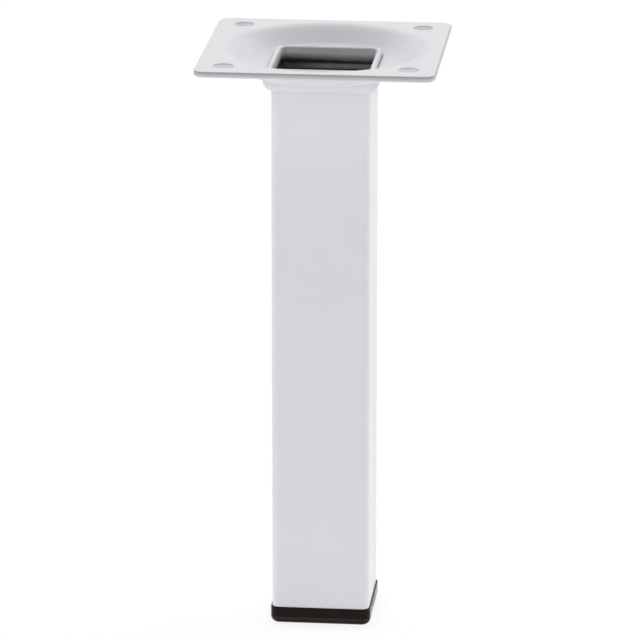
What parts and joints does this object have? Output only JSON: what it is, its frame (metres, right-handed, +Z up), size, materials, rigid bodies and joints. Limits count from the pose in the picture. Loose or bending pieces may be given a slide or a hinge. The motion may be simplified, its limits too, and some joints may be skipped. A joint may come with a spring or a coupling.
{
  "type": "table leg",
  "caption": "Short square metal furniture leg with a dished square mounting plate that screws under a top, and a black plastic foot cap.",
  "frame": {"origin": "middle of the foot's underside, on the floor", "axes": "+Z up along the tube to the mounting plane; -Y is the front in the picture, +X its right"},
  "size_m": [0.06, 0.06, 0.15],
  "materials": {
    "white_paint": "smooth semi-gloss white coat",
    "black_plastic": "moulded, semi-gloss black"
  },
  "bodies": {
    "root": {"mounting_plate": "white_paint", "leg_tube": "white_paint", "foot_cap": "black_plastic"}
  },
  "joints": []
}
